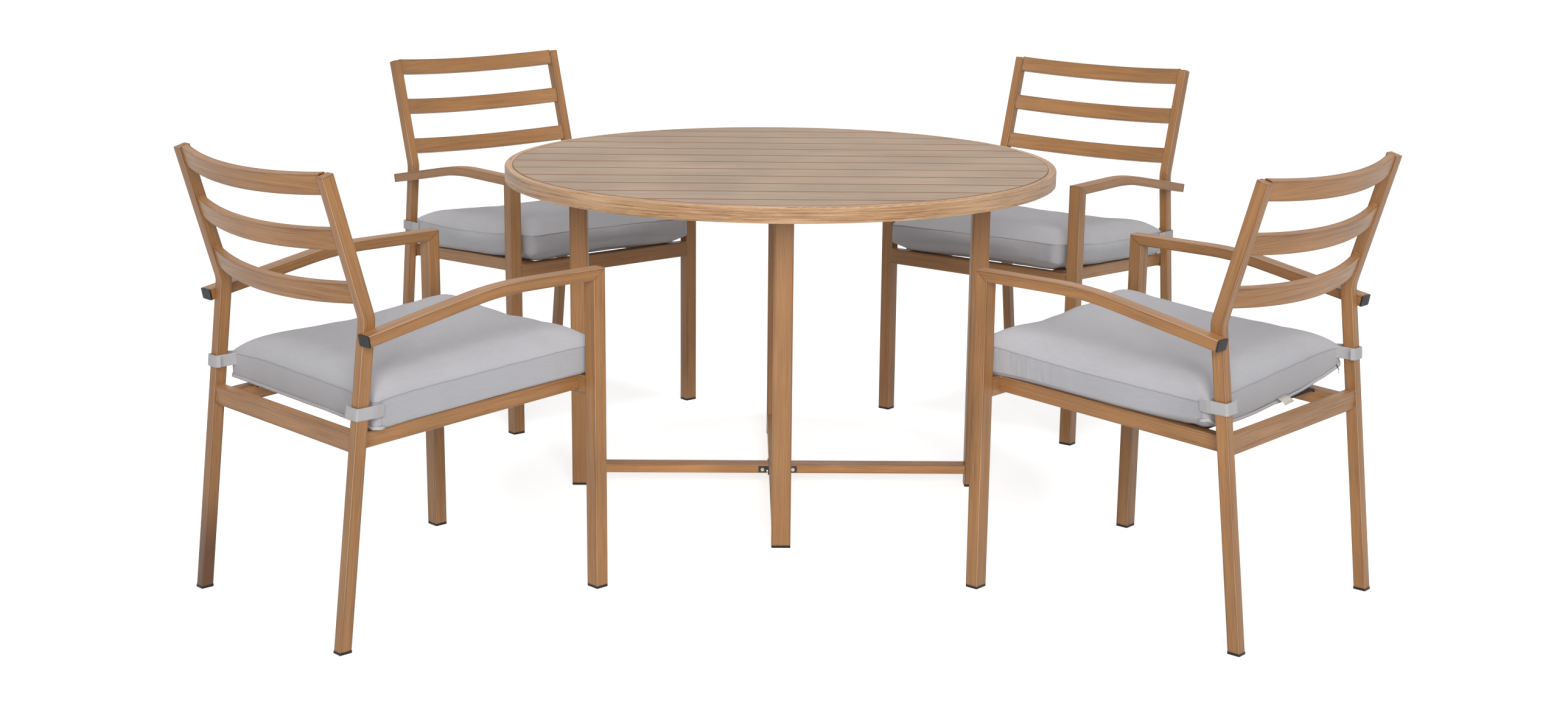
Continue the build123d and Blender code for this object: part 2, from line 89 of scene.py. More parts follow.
# How far in from the seam the crown is full, at the sides, the rear and the front.
ROLL_SIDE = 0.030
ROLL_REAR = 0.021
ROLL_FRONT = 0.050
# How far each cushion lies rolled towards its chair's left (or right, if negative), in degrees.
ROLLS = {"front_left": -0.7, "front_right": 3.7, "rear_left": 0.0, "rear_right": 0.0}
# How far the bottom seam lies above its plain place, along each edge and at each corner.
HEM_LIFTS = {
    "front_left": {
        "front": 0.002, "rear": -0.004, "left": 0.000, "right": -0.007,
        "rear_left": 0.004, "rear_right": 0.000, "front_left": 0.002, "front_right": -0.001,
    },
    "front_right": {
        "front": 0.004, "rear": -0.011, "left": 0.002, "right": 0.000,
        "rear_left": 0.026, "rear_right": 0.018, "front_left": -0.002, "front_right": 0.004,
    },
    "rear_left": {
        "front": 0.004, "rear": 0.000, "left": 0.002, "right": 0.000,
        "rear_left": 0.002, "rear_right": 0.002, "front_left": 0.000, "front_right": -0.002,
    },
    "rear_right": {
        "front": 0.005, "rear": 0.000, "left": 0.000, "right": 0.002,
        "rear_left": 0.002, "rear_right": 0.002, "front_left": -0.002, "front_right": 0.000,
    },
}
# How far the top seam is pushed up (or down, if negative), where it is.
TOP_LIFTS = {
    "front_left": {},
    "front_right": {"rear_left": 0.009, "front_left": 0.012},
    "rear_left": {"rear_left": 0.008, "rear_right": 0.014},
    "rear_right": {"rear_left": 0.010, "rear_right": 0.008, "left": -0.003},
}
# How far the front of a cushion is bent up off the front rail, at its left and its right end.
FRONT_RISES = {
    "front_left": (0.0, 0.0),
    "front_right": (0.0, 0.0),
    "rear_left": (0.009, 0.014),
    "rear_right": (0.015, 0.009),
}
# How widely the top rolls over into its sides.
ROUNDING = {"front_left": 1.0, "front_right": 1.0, "rear_left": 1.0, "rear_right": 1.1}
# How far the boxing bulges at the middle of each side.
BULGES = {"front_left": 0.001, "front_right": 0.001, "rear_left": 0.008, "rear_right": 0.008}
# How far the cloth may move while it is blown up, and for how many frames it moves.
FARTHEST = 0.016
CLOTH_FRAMES = 20
# Small folds that are added after that: how far they reach from the seams, and how high they are.
TOP_REACH = 0.018
LOW_REACH = 0.014
TOP_RIPPLE = 0.0010
TOP_SWELL = 0.0012
SIDE_RIPPLE = 0.0018
SIDE_SWELL = 0.0014
FRONT_FOLD = 0.0016
# Grid of the cushion's mesh, and the grid lines from a rear corner to the upright seam beside it.
GRID_X = 46
GRID_Y = 48
GATHER = 0.35                       # how much closer the grid lines lie near the edges
SIDE_ROWS = 6
UPRIGHT_PLACE = 3
# Cords of the seams, and the hem that hangs from the bottom seam.
SEAM_RADIUS = 0.0006
UPRIGHT_RADIUS = 0.0005
HEM_WIDTH = 0.006
HEM_THICKNESS = 0.0016
HEM_OUT = 0.0010
HEM_DROP = 0.0020
HEM_SAG = 0.0010

# ---- straps, label, zip pull, welds and the bead round the top ----------------------------------
# Heights of the left and the right strap on the rear legs.
TIE_HEIGHTS = {
    "front_left": (0.450, 0.440),
    "front_right": (0.456, 0.475),
    "rear_left": (0.450, 0.450),
    "rear_right": (0.450, 0.450),
}
TIE_WIDTH = 0.024
TIE_THICKNESS = 0.0015
TIE_OFF = 0.0016                    # from the leg's face to the middle of the strap
TIE_TIP = CUSHION_REAR + 0.012      # where the strap reaches the cushion's corner
TIE_BEND = 0.004
FLAP_OFF = 0.0019                   # from the middle of the strap to that of its loose end
FLAP_THICKNESS = 0.0014
# Bare care label and zip pull.
LABEL_X = 0.030
LABEL_WIDTH = 0.034
LABEL_THICKNESS = 0.0004
PULL_X = 0.230
PULL_RADIUS = 0.0010
# Welds: the middle of each tube end at the chair's right, half its width, half its height.
RAIL_WELDS = (
    ((0.2335, -0.237, 0.3845), (0, 0.011, 0), 0.0185),                      # rear rail
    ((0.2555, 0.2865, 0.407), (0, 0.0125, 0), 0.019),                       # front rail
    ((0.217, FRONT_RAIL_BACK - 0.0005, 0.411), (0.014, 0, 0), 0.015),       # side rail, in front
    ((0.217, REAR_RAIL_FRONT + 0.0005, 0.382), (0.014, 0, 0), 0.015),       # side rail, behind
)
BACK_TOP = (0.2335, -0.2993, 0.872)  # inner rear edge of the right upright, at its top
BACK_SLATS = 3
BACK_SLAT_PITCH = 0.104
BACK_SLAT_HALF_HEIGHT = 0.019
BACK_SLAT_HALF_DEPTH = 0.0075
WELD_RADIUS = 0.0011
WELD_STEP = 0.004
WELD_SHAKE = 0.0003
RIM_BEAD_RADIUS = 0.5916            # joint between the slats' ends and the rim
RIM_BEAD_HEIGHT = 0.7443
RIM_BEAD_POINTS = 288
RIM_BEAD_THICKNESS = 0.0013

# ---- floor, light and camera --------------------------------------------------------------------
FLOOR_SIZE = 90
FLOOR_DROP = 0.0005
FLOOR_TONE = 0.86
# Glow of the floor as it is seen: near the set, where its shadow shows, and further away.
GLOW_NEAR = (2.0, 0.72)
GLOW_FAR = (6.0, 0.88)
WORLD_LIGHT = 0.21                  # light of the world on the object
# Lamps: place, target, size, power in watts.
LAMPS = {
    "key": ((0.3, -9.0, 4.2), (0, 0, 0.4), 5.0, 665),
    "overhead": ((0, 0.0, 4.6), (0, 0, 0), 1.3, 78),
}
CAMERA_PLACE = (-0.0976, -4.8603, 1.4424)
CAMERA_PITCH = 0.2348               # down from level, in radians
CAMERA_YAW = 0.0211
CAMERA_ROLL = -0.0110
CAMERA_SENSOR = 36.0                # in millimetres, as the lens
CAMERA_LENS = 49.85


def seat_z(y):
    """Lowest the cushion may be at y in the chair's frame."""
    return SEAT_REAR + (y - REAR_RAIL_FRONT) * SEAT_SLOPE + REST


def chair_matrix(spot):
    """From a chair's own frame to the shared one."""
    distance, direction, facing = CHAIRS[spot]
    toward = math.radians(direction)
    x = TABLE_X + distance * math.cos(toward)
    y = TABLE_Y + distance * math.sin(toward)
    return Matrix.Translation((x, y, 0)) @ Matrix.Rotation(math.radians(facing - 90), 4, "Z")


# ---- shader helper ------------------------------------------------------------------------------
class Shader:
    """Nodes of a material or of the world: adds nodes and feeds their sockets."""

    def __init__(self, owner):
        owner.use_nodes = True
        self.owner = owner
        self.tree = owner.node_tree
        self.bsdf = self.tree.nodes.get("Principled BSDF")

    def feed(self, socket, value):
        """Links a socket to another one, or sets its value."""
        if isinstance(value, bpy.types.NodeSocket):
            self.tree.links.new(value, socket)
        else:
            socket.default_value = value

    def node(self, kind, inputs, **settings):
        """New node with these inputs and settings."""
        made = self.tree.nodes.new("ShaderNode" + kind)
        for key, value in settings.items():
            setattr(made, key, value)
        for key, value in inputs.items():
            self.feed(made.inputs[key], value)
        return made

    def math(self, operation, *values):
        return self.node("Math", dict(enumerate(values)), operation=operation).outputs[0]

    def scaled(self, value, factor):
        return self.math("MULTIPLY", value, factor)

    def combine(self, x, y, z):
        return self.node("CombineXYZ", {0: x, 1: y, 2: z}).outputs[0]

    def separate(self, vector):
        return self.node("SeparateXYZ", {0: vector}).outputs

    def noise(self, vector, scale, detail, seed=0.0, roughness=0.5):
        """Noise at a point; the seed moves it to another place."""
        inputs = {"Vector": vector, "W": seed, "Scale": scale}
        inputs.update({"Detail": detail, "Roughness": roughness})
        return self.node("TexNoise", inputs, noise_dimensions="4D").outputs["Fac"]

    def span(self, value, low, high, to_low=0.0, to_high=1.0, kind="SMOOTHSTEP"):
        """A value mapped from low and high to two others, and held there beyond them."""
        inputs = {"Value": value, "From Min": low, "From Max": high}
        inputs.update({"To Min": to_low, "To Max": to_high})
        return self.node("MapRange", inputs, interpolation_type=kind).outputs["Result"]

    def paler(self, colour, tone):
        """A colour made paler (tone above 1) or darker."""
        return self.mix(1.0, colour, self.combine(tone, tone, tone), blend="MULTIPLY")

    def mix(self, factor, first, second, blend="MIX"):
        made = self.node("Mix", {}, data_type="RGBA", blend_type=blend)
        self.feed(made.inputs[0], factor)
        self.feed(made.inputs[6], first)
        self.feed(made.inputs[7], second)
        return made.outputs[2]

    def ramp(self, factor, stops):
        """Colour ramp through stops of a place and a colour."""
        made = self.node("ValToRGB", {"Fac": factor})
        elements = made.color_ramp.elements
        while len(elements) < len(stops):
            elements.new(1.0)
        for element, (place, colour) in zip(elements, stops):
            element.position = place
            element.color = (*colour, 1)
        return made.outputs["Color"]

    def bump(self, height, distance, under=None):
        """Surface raised by height, on top of another bump if there is one under it."""
        made = self.node("Bump", {"Height": height, "Distance": distance})
        if under:
            self.feed(made.inputs["Normal"], under)
        self.feed(self.bsdf.inputs["Normal"], made.outputs["Normal"])

    def own_frame(self, place):
        """Point and normal in the chair's or the table's own frame."""
        coords = self.node("TexCoord", {})
        turn = place.to_euler()
        found = []
        for socket, origin in (("Object", place.translation), ("Normal", (0, 0, 0))):
            inputs = {"Vector": coords.outputs[socket], "Location": origin, "Rotation": turn}
            mapped = self.node("Mapping", inputs, vector_type="TEXTURE")
            found.append(self.separate(mapped.outputs[0]))
        return found


# ---- wood-grain paint on metal ------------------------------------------------------------------
# Colours of the grain, from its pores to its ridges: place in the ramp, and colour.
OAK = (
    (0.30, (0.105, 0.042, 0.014)),
    (0.41, (0.278, 0.130, 0.046)),
    (0.53, (0.358, 0.172, 0.061)),
    (0.72, (0.428, 0.216, 0.084)),
)
RIM_OAK = (
    (0.34, (0.125, 0.052, 0.019)),
    (0.43, (0.320, 0.162, 0.070)),
    (0.52, (0.500, 0.290, 0.145)),
    (0.65, (0.700, 0.458, 0.268)),
)
# Colours of the top: partly its own paler paint, partly a painted sheen that stands in for the
# glossy reflection its dull paint leaves out.
TOP_OAK_AND_SHEEN = (
    (0.30, (0.245, 0.156, 0.098)),
    (0.44, (0.374, 0.270, 0.191)),
    (0.57, (0.427, 0.320, 0.235)),
    (0.74, (0.492, 0.388, 0.298)),
)
# Paint paler on corners, partly rubbed and partly a painted highlight; painted shade beside the
# grooves of the top; and darker towards one foot.
WORN_AND_HIGHLIGHT_TONE = (0.66, 0.45, 0.29, 1)
GROOVE_SHADE_TONE = (0.190, 0.066, 0.026, 1)
FOOT_DARK_TONE = (0.098, 0.037, 0.013, 1)
GLAZE_AND_SHADE_WIDTH = 0.0045                # dark glazing, partly painted shade, beside the edges


def lighter(stops, gain):
    """The same grain in a paler tone."""
    return tuple((place, tuple(gain * part for part in tone)) for place, tone in stops)


def leg_lines(s, p):
    """Grain up a straight upright tube."""
    return p[2], p[0], p[1]


def rear_leg_lines(s, p):
    """Grain that follows the bent rear leg."""
    rake = (REAR_BEND_Y - REAR_FOOT_Y) / REAR_BEND_Z
    above = s.math("MAXIMUM", s.math("SUBTRACT", p[2], REAR_BEND_Z), 0.0)
    across = s.math("SUBTRACT", p[1], s.scaled(p[2], rake))
    return p[2], p[0], s.math("ADD", across, s.scaled(above, BACK_LEAN + rake))


def arm_lines(s, p):
    """Grain that follows the arm down to its rear end."""
    behind = s.math("MAXIMUM", s.math("SUBTRACT", ARM_BEND_Y, p[1]), 0.0)
    return p[1], p[0], s.math("ADD", p[2], s.scaled(behind, ARM_FALL))


def back_lines(s, p):
    """Grain along the bowed back slats."""
    share = s.math("DIVIDE", p[0], BACK_HALF)
    bow = s.scaled(s.math("MULTIPLY", share, share), -BACK_BOW)
    return p[0], p[2], s.math("ADD", s.math("ADD", p[1], bow), s.scaled(p[2], BACK_LEAN))


def either(s, factor, first, second):
    """The first three sockets where factor is 0, the second three where it is 1."""
    both = s.node("Mix", {0: factor}, data_type="VECTOR")
    s.feed(both.inputs[4], s.combine(*first))
    s.feed(both.inputs[5], s.combine(*second))
    return tuple(s.separate(both.outputs[1]))


def seat_lines(s, p):
    """Grain along the side rails, and across in the front and the rear rail."""
    in_front = s.math("GREATER_THAN", p[1], FRONT_RAIL_BACK - 0.0004)
    behind = s.math("LESS_THAN", p[1], REAR_RAIL_FRONT + 0.0004)
    level = s.math("SUBTRACT", p[2], s.scaled(p[1], SEAT_SLOPE))
    return either(s, s.math("ADD", in_front, behind), (p[1], p[0], level), p)


def cross_lines(s, p):
    """Grain along the two tubes of a cross."""
    along_y = s.math("LESS_THAN", s.math("ABSOLUTE", p[0]), CROSS_TUBE / 2 + 0.0002)
    return either(s, along_y, p, (p[1], p[0], p[2]))


def slat_lines(s, p):
    """Grain along the slats of the top."""
    return p[0], p[1], p[2]


def batten_lines(s, p):
    """Grain along the short battens."""
    return p[1], p[0], p[2]


def rim_lines(s, p):
    """Grain that runs round the rim."""
    angle = s.math("ARCTAN2", p[1], p[0])
    square = s.math("ADD", s.math("MULTIPLY", p[0], p[0]), s.math("MULTIPLY", p[1], p[1]))
    return s.scaled(angle, RIM_RADIUS), s.math("SQRT", square), p[2]


def groove_shade(s, p, colour):
    """Painted shade along the edges of the top's slats, beside the grooves, where little light
    reaches.
    """
    beside = s.math("PINGPONG", s.math("ABSOLUTE", p[1]), SLAT_PITCH / 2)
    share = s.span(beside, SLAT_GROOVE / 2 + 0.0032, SLAT_GROOVE / 2 + 0.0010, 0.0, 0.9)
    return s.mix(share, colour, GROOVE_SHADE_TONE)


def foot_darkening(s, p, colour):
    """The paint turned darker at the foot of a chair's left leg."""
    low = s.span(p[2], 0.22, 0.06, 0.16, 0.92)
    share = s.math("MULTIPLY", low, s.math("LESS_THAN", p[0], 0.0))
    return s.mix(share, colour, FOOT_DARK_TONE)


def edge_glaze_and_shade(s, thick, corner):
    """Share of dark glazing beside the tube's edges, partly painted shade, broken up by the grain.
    """
    rounded = s.node("Bevel", {"Radius": GLAZE_AND_SHADE_WIDTH}, samples=4).outputs["Normal"]
    true = s.node("NewGeometry", {}).outputs["True Normal"]
    agree = s.node("VectorMath", {0: rounded, 1: true}, operation="DOT_PRODUCT").outputs["Value"]
    glaze_and_shade = s.math("MULTIPLY", s.span(agree, 0.985, 0.92), s.span(thick, 0.62, 0.38, 0.45, 0.95))
    return s.math("MULTIPLY", glaze_and_shade, s.math("SUBTRACT", 1.0, corner))


def oak_paint(
    name, place, lines, seed,
    stops=OAK, fine=800.0, coarse=110.0, gloss=0.42, shade=None, glazed_and_shaded=True,
):
    """Painted metal with a brushed wood grain that runs along the tube.

    lines tells how the grain runs, stops its colours, fine and coarse how close it lies.  shade
    turns the paint darker in places, and the last flag leaves dark glazing, partly painted shade,
    beside the edges.
    """
    s = Shader(bpy.data.materials.new(name))
    point, normal = s.own_frame(place)
    along, across, level = lines(s, point)
    spot_noise = s.combine(*point)
    drift = s.noise(spot_noise, 7.0, 2.0, seed)
    bent = s.math("ADD", across, s.scaled(drift, 0.006))

    def streaks(stretch, width, detail, offset):
        """Noise drawn out along the grain."""
        vector = s.combine(s.scaled(along, stretch), s.scaled(bent, width), s.scaled(level, width))
        return s.noise(vector, 1.0, detail, seed + offset, 0.6)

    pore_tone = (*stops[0][1], 1)
    thin = streaks(9.0, fine, 3.0, 1.0)
    thick = streaks(2.6, coarse, 3.0, 5.0)
    grain = s.math("ADD", s.scaled(thin, 0.62), s.scaled(thick, 0.38))
    colour = s.ramp(grain, stops)
    pores = s.span(streaks(14.0, fine * 2.2, 1.0, 9.0), 0.66, 0.74)
    colour = s.mix(s.scaled(pores, 0.35), colour, pore_tone)
    # Corners are where no part of the normal is near 1.
    widest = s.math("MAXIMUM", s.math("ABSOLUTE", normal[0]), s.math("ABSOLUTE", normal[1]))
    widest = s.math("MAXIMUM", widest, s.math("ABSOLUTE", normal[2]))
    corner = s.span(widest, 0.93, 0.78)
    # Corners paler: partly rubbed paint, partly a painted highlight on the rounded corners.
    worn_and_highlight = s.math("MULTIPLY", s.scaled(corner, 0.35), s.span(thick, 0.35, 0.6))
    # Dark glazing beside the edges, partly painted shade.
    if glazed_and_shaded:
        colour = s.mix(edge_glaze_and_shade(s, thick, corner), colour, pore_tone)
    colour = s.mix(worn_and_highlight, colour, WORN_AND_HIGHLIGHT_TONE)
    patches = s.noise(spot_noise, 5.0, 2.0, seed + 3)
    colour = s.paler(colour, s.span(patches, 0.3, 0.7, 0.90, 1.08))
    if shade:
        colour = shade(s, point, colour)
    s.feed(s.bsdf.inputs["Base Color"], colour)
    s.feed(s.bsdf.inputs["Roughness"], s.span(grain, 0.3, 0.7, gloss + 0.08, gloss - 0.04))
    s.bump(grain, 0.0002)
    return s.owner


# ---- plastic, steel, fabric ---------------------------------------------------------------------
# Fabrics: colours, and how far apart the cushions' threads lie.
FABRIC_TONE = (0.480, 0.477, 0.505)
HEM_TONE = (0.58, 0.575, 0.59)
FRONT_SEAM_TONE = (0.36, 0.355, 0.365)
REAR_SEAM_TONE = (0.455, 0.452, 0.475)
TIE_TONE = (0.50, 0.49, 0.50)
THREAD_PITCH = 0.0011
# How far a fabric's tone varies, and how fine its yarn is across and along the threads.
MOTTLE = 0.05
YARN_FINE = 500.0
YARN_LONG = 30.0


def plain(name, colour, rough, metallic=0.0, mottle=0.12, specular=0.5):
    """Plastic or metal with a slight uneven tone and a fine surface."""
    s = Shader(bpy.data.materials.new(name))
    coords = s.node("TexCoord", {}).outputs["Object"]
    spots = s.noise(coords, 60.0, 3.0)
    tone = s.span(spots, 0.3, 0.7, 1.0 - mottle, 1.0 + mottle)
    s.feed(s.bsdf.inputs["Base Color"], s.paler((*colour, 1), tone))
    s.feed(s.bsdf.inputs["Roughness"], s.span(spots, 0.3, 0.7, rough - 0.05, rough + 0.08))
    s.feed(s.bsdf.inputs["Metallic"], metallic)
    s.feed(s.bsdf.inputs["Specular IOR Level"], specular)
    s.bump(s.noise(coords, 900.0, 2.0), 0.0001)
    return s.owner


def puckers(s, point, normal):
    """Upright folds in a cushion's boxing, stronger towards its front."""
    along = s.scaled(s.math("ADD", point[0], point[1]), 55.0)
    folds = s.noise(s.combine(along, 0.0, s.scaled(point[2], 9.0)), 1.0, 2.0, 8.0)
    upright = s.span(s.math("ABSOLUTE", normal[2]), 0.6, 0.3)
    return s.math("MULTIPLY", folds, s.math("MULTIPLY", upright, s.span(point[1], 0.0, 0.25)))


def cloth(name, colour, place, thread_pitch, sheen=0.25, folds=0.0):
    """Plain-woven fabric: two crossed sets of threads, with uneven yarn and faint stains."""
    s = Shader(bpy.data.materials.new(name))
    point, normal = s.own_frame(place)
    x, y, z = point
    turns = 2 * math.pi / thread_pitch

    def laid(along, facing):
        """A direction of the cloth: along, or upright on the faces that look that way."""
        steep = s.math("GREATER_THAN", s.math("ABSOLUTE", facing), 0.7)
        level = s.math("MULTIPLY", along, s.math("SUBTRACT", 1.0, steep))
        return s.math("ADD", level, s.math("MULTIPLY", z, steep))

    def yarn(across, along, seed):
        """Uneven thickness of one set of threads."""
        vector = s.combine(across, along, s.scaled(z, YARN_FINE))
        return s.scaled(s.noise(vector, 1.0, 2.0, seed), 0.5)

    warp = s.math("SINE", s.scaled(laid(x, normal[0]), turns))
    weft = s.math("SINE", s.scaled(laid(y, normal[1]), turns))
    weave = s.math("MULTIPLY", warp, weft)
    diagonal = s.math("ADD", x, y)
    lengthwise = yarn(s.scaled(x, YARN_LONG), s.scaled(diagonal, YARN_FINE), 1.0)
    crosswise = yarn(s.scaled(x, YARN_FINE), s.scaled(y, YARN_LONG), 2.0)
    uneven = s.math("ADD", lengthwise, crosswise)
    stains = s.noise(s.combine(x, y, z), 9.0, 3.0, 4.0)
    threads = s.span(uneven, 0.3, 0.7, -MOTTLE, MOTTLE)
    tone = s.math("ADD", threads, s.span(stains, 0.3, 0.7, 1 - MOTTLE / 2, 1 + MOTTLE / 2))
    s.feed(s.bsdf.inputs["Base Color"], s.paler((*colour, 1), tone))
    s.feed(s.bsdf.inputs["Roughness"], 0.85)
    s.feed(s.bsdf.inputs["Sheen Weight"], sheen)
    s.feed(s.bsdf.inputs["Sheen Roughness"], 0.5)
    s.feed(s.bsdf.inputs["Specular IOR Level"], 0.25)
    under = s.node("Bump", {"Height": puckers(s, point, normal), "Distance": folds})
    s.bump(s.math("ADD", s.scaled(weave, 0.5), uneven), 0.00025, under.outputs["Normal"])
    return s.owner


# ---- finish of every solid ----------------------------------------------------------------------
def paint(node, material):
    """Gives a solid its material."""
    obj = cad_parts[node]
    obj.data.materials.clear()
    obj.data.materials.append(material)
    for polygon in obj.data.polygons:
        polygon.material_index = 0


table_place = Matrix.Translation((TABLE_X, TABLE_Y, 0))
black = plain("black_plastic", (0.014, 0.013, 0.013), 0.45, mottle=0.3, specular=0.22)
dark = plain("dark_metal", (0.035, 0.030, 0.028), 0.4, mottle=0.3)
steel = plain("bolt_steel", (0.60, 0.58, 0.56), 0.32, metallic=1.0)
bead_paint = plain("bead_paint", (0.250, 0.125, 0.062), 0.6, mottle=0.2)
webbing = cloth("webbing", (0.018, 0.018, 0.019), Matrix(), 0.0016, sheen=0.1)

# The top is duller than the tubes, and has painted shade beside its grooves.  The top and the rim
# have neither glazing nor painted shade beside their edges.
leg_finish = {"lines": leg_lines, "stops": lighter(OAK, 1.08)}
slat_finish = {"lines": slat_lines, "stops": TOP_OAK_AND_SHEEN, "fine": 700.0, "coarse": 90.0}
table_finishes = {
    "table_slats": {**slat_finish, "gloss": 0.72, "shade": groove_shade, "glazed_and_shaded": False},
    "table_rim": {
        "lines": rim_lines, "stops": RIM_OAK, "fine": 950.0, "coarse": 250.0, "glazed_and_shaded": False,
    },
    "table_top_rails": {"lines": cross_lines},
    # The stretcher's paint is much paler than the other tubes': painted light.
    "table_stretcher": {"lines": cross_lines, "stops": lighter(OAK, 1.62)},
    "table_battens": {"lines": batten_lines},
    "table_leg_right": leg_finish,
    "table_leg_back": leg_finish,
    "table_leg_left": leg_finish,
    "table_leg_front": leg_finish,
}
for index, (node, finish) in enumerate(table_finishes.items()):
    paint(node, oak_paint("paint_" + node, table_place, seed=11.0 * index, **finish))
paint("table_brackets", dark)
paint("table_bolts", steel)
paint("table_feet", black)

chair_lines = {
    "front_leg": leg_lines,
    "rear_leg": rear_leg_lines,
    "arm": arm_lines,
    "back_slats": back_lines,
    "seat_frame": seat_lines,
}
chair_paint = {}
for index, spot in enumerate(CHAIRS):
    for number, (part, lines) in enumerate(chair_lines.items()):
        seed = 7.0 * index + 31.0 * number
        # One chair's left leg is darker towards its foot.
        foot_dark = foot_darkening if (spot, part) == ("front_left", "rear_leg") else None
        name = f"paint_{spot}_{part}"
        material = oak_paint(name, chair_matrix(spot), lines, seed, shade=foot_dark)
        chair_paint[spot, part] = material
        for side in ("", "_left", "_right"):
            node = f"chair_{spot}_{part}{side}"
            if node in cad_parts:
                paint(node, material)
    paint(f"chair_{spot}_seat_bands", webbing)
    paint(f"chair_{spot}_end_caps", black)


# ---- mesh helpers -------------------------------------------------------------------------------
def add_piece(name, mesh, material, smooth=True):
    """New object from a bmesh, with one material."""
    data = bpy.data.meshes.new(name)
    mesh.to_mesh(data)
    mesh.free()
    data.materials.append(material)
    if smooth:
        for polygon in data.polygons:
            polygon.use_smooth = True
    obj = bpy.data.objects.new(name, data)
    bpy.context.scene.collection.objects.link(obj)
    return obj


def heading(points, index, closed):
    """Direction of a path at one of its points, not yet of length 1."""
    if closed:
        return points[(index + 1) % len(points)] - points[index - 1]
    return points[min(index + 1, len(points) - 1)] - points[max(index - 1, 0)]


def skin(mesh, sections, closed):
    """Faces between the cross sections of a strap or cord, and at its ends if it is open."""
    rings = [[mesh.verts.new(corner) for corner in section] for section in sections]
    sides = len(rings[0])
    for index in range(len(rings) if closed else len(rings) - 1):
        first, second = rings[index], rings[(index + 1) % len(rings)]
        for corner in range(sides):
            following = (corner + 1) % sides
            mesh.faces.new((first[corner], second[corner], second[following], first[following]))
    if not closed:
        mesh.faces.new(rings[0])
        mesh.faces.new(list(reversed(rings[-1])))


def ribbon(mesh, points, ups, width, thickness, closed=False):
    """Flat strap of even thickness along points; ups are the directions across its width."""
    sections = []
    for index, (point, up) in enumerate(zip(points, ups)):
        out = heading(points, index, closed).cross(up).normalized() * thickness / 2
        half = up.normalized() * width / 2
        edge = half * 0.94
        sections.append([
            point + half, point + edge + out, point - edge + out,
            point - half, point - edge - out, point + edge - out,
        ])
    skin(mesh, sections, closed)


def thread(mesh, points, radius, closed=False, sides=6):
    """Thin round cord along points."""
    sections = []
    for index, point in enumerate(points):
        ahead = heading(points, index, closed).normalized()
        first = ahead.cross(Vector((0.3, 0.2, 1.0))).normalized()
        second = ahead.cross(first)
        section = []
        for corner in range(sides):
            turn = -2 * math.pi * corner / sides
            section.append(point + radius * (math.cos(turn) * first + math.sin(turn) * second))
        sections.append(section)
    skin(mesh, sections, closed)


# ---- cushions -----------------------------------------------------------------------------------
def outline_point(a, b):
    """Point of the cushion's plan for a and b from -1 to 1: a square grid with rounded corners."""
    x = a * CUSHION_HALF
    y = b * HALF_LENGTH
    corner = FRONT_CORNER if b > 0 else REAR_CORNER
    in_x = (abs(x) - (CUSHION_HALF - corner)) / corner
    in_y = (abs(y) - (HALF_LENGTH - corner)) / corner
    if in_x > 0 and in_y > 0:
        round_x = in_x * math.sqrt(1 - in_y * in_y / 2)
        round_y = in_y * math.sqrt(1 - in_x * in_x / 2)
        x = math.copysign(CUSHION_HALF - corner + corner * round_x, x)
        y = math.copysign(HALF_LENGTH - corner + corner * round_y, y)
    return x, y + MIDDLE_Y


def edge_lift(lifts, a, b):
    """Rise near the cushion's edge, for a and b from -1 to 1."""
    side = "left" if a < 0 else "right"
    end = "rear" if b < 0 else "front"
    near_end = abs(b) ** 6 * (1 - abs(a) ** 6)
    near_side = abs(a) ** 8 * (1 - abs(b) ** 6)
    lift = lifts.get(end, 0.0) * near_end + lifts.get(side, 0.0) * near_side
    return lift + lifts.get(f"{end}_{side}", 0.0) * abs(a * b) ** 3


def front_rise(spot, a, b):
    """Rise of a cushion whose front is bent up, for a and b from -1 to 1."""
    left, right = FRONT_RISES[spot]
    ahead = max(0.0, b)
    return ((left + right) / 2 + (right - left) / 2 * a) * ahead * ahead * (3 - 2 * ahead)


def fullness(a, b, rounding=1.0):
    """Share of the crown that the top has reached, from 0 on the seam to 1 well inside it."""
    from_side = CUSHION_HALF * (1 - abs(a)) / (ROLL_SIDE * rounding)
    from_end = HALF_LENGTH * (1 - abs(b)) / (ROLL_REAR if b < 0 else ROLL_FRONT)
    nearest = (max(from_side, 1e-4) ** -4 + max(from_end, 1e-4) ** -4) ** -0.25
    return 1 - (1 - min(1.0, nearest)) ** 2


def gathered(share):
    """Place from -1 to 1 of a grid line, with the lines closer together near the edges."""
    t = 2 * share - 1
    return t * (1 + GATHER - GATHER * t * t)


def outward(point):
    """Level direction from the cushion's middle to a point."""
    return Vector((point.x, point.y - MIDDLE_Y, 0)).normalized()


def place_in_plan(point):
    """Place of a point in the cushion's plan, each way from -1 to 1."""
    return point.x / CUSHION_HALF, (point.y - MIDDLE_Y) / HALF_LENGTH


def border(grid):
    """Vertices round the edge of a grid, in order."""
    loop = list(grid[0])
    loop += [row[-1] for row in grid[1:]]
    loop += list(reversed(grid[-1]))[1:]
    loop += [row[0] for row in reversed(grid[1:-1])]
    return loop


